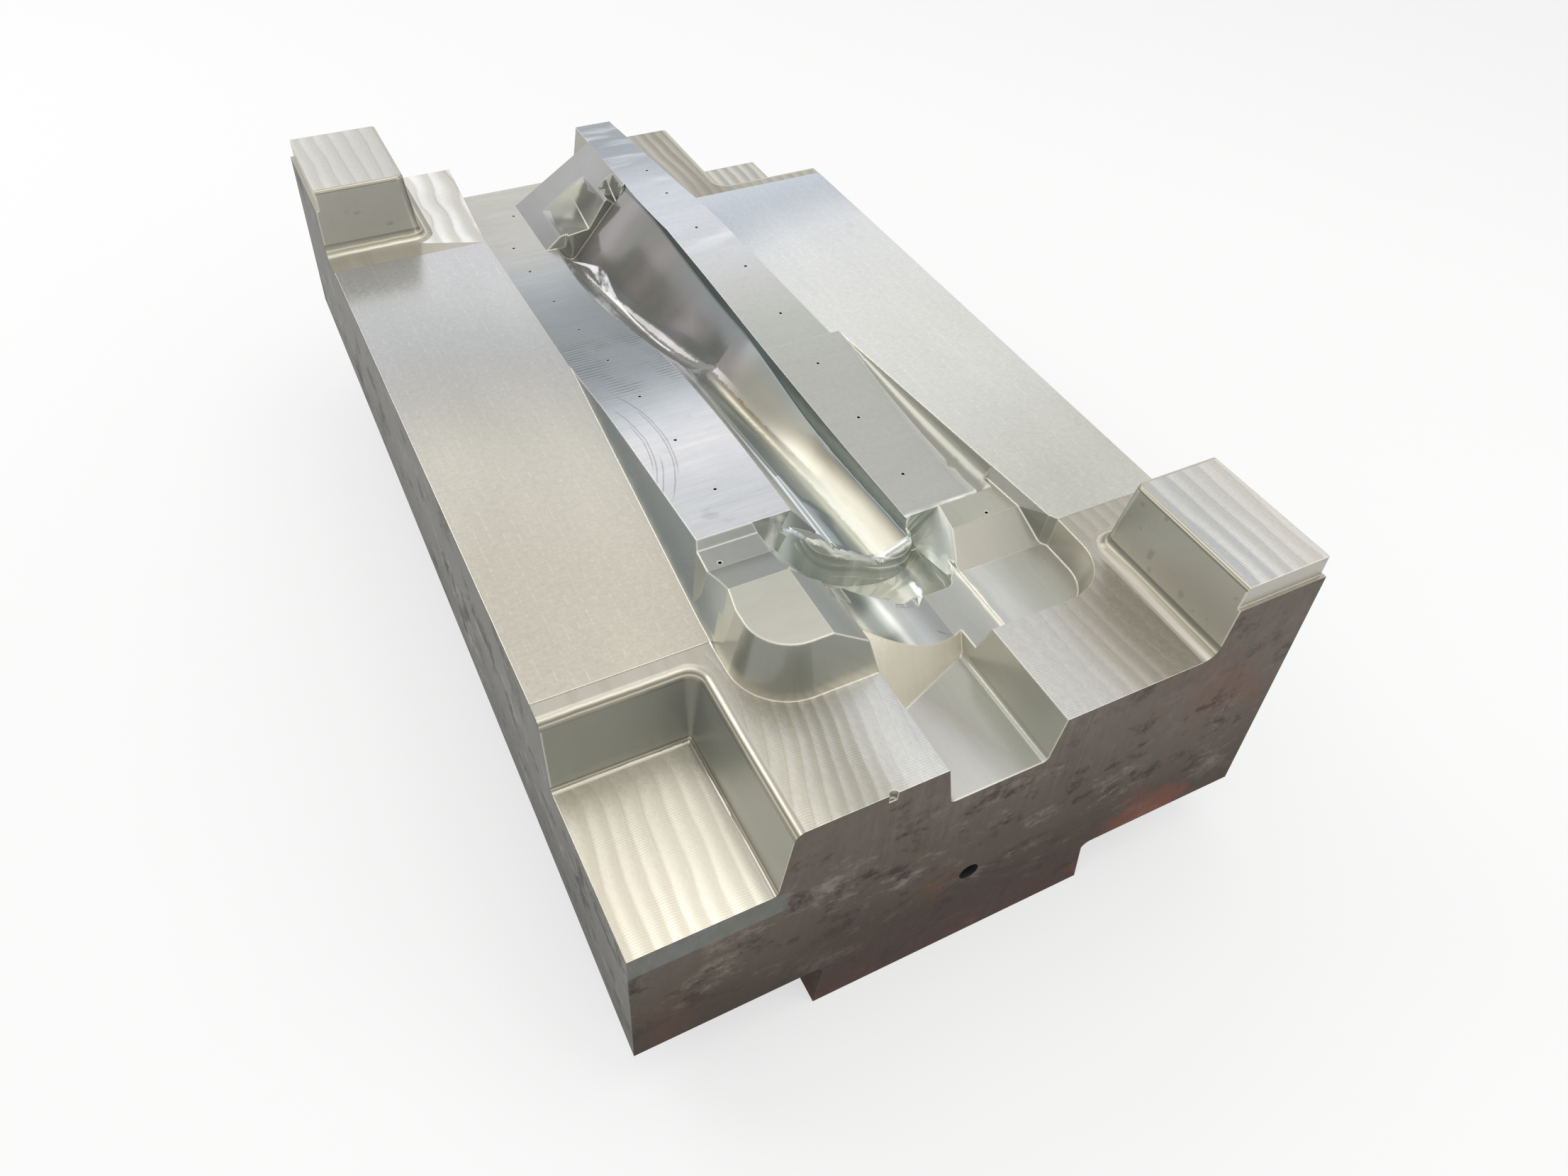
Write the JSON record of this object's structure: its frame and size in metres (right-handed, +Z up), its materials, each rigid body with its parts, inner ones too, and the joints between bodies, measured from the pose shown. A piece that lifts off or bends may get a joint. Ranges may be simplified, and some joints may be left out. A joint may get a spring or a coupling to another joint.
{
  "type": "injection mould half",
  "caption": "Lower half of a large injection mould: a milled steel block with corner locks, stepped shut-off lands and a polished hollow.",
  "frame": {"origin": "bottom centre of the block's box, on the plane the foot stands on", "axes": "+X to the right across the block seen from the front end, +Y along its length to the back, +Z up out of the parting face"},
  "size_m": [0.56, 0.95, 0.326],
  "materials": {
    "tool_steel": "milled and ground on the top, mirror polished in the hollow, dark forged skin on the sides, red primer on the foot"
  },
  "bodies": {
    "root": {"mould_block": "tool_steel"}
  },
  "joints": []
}
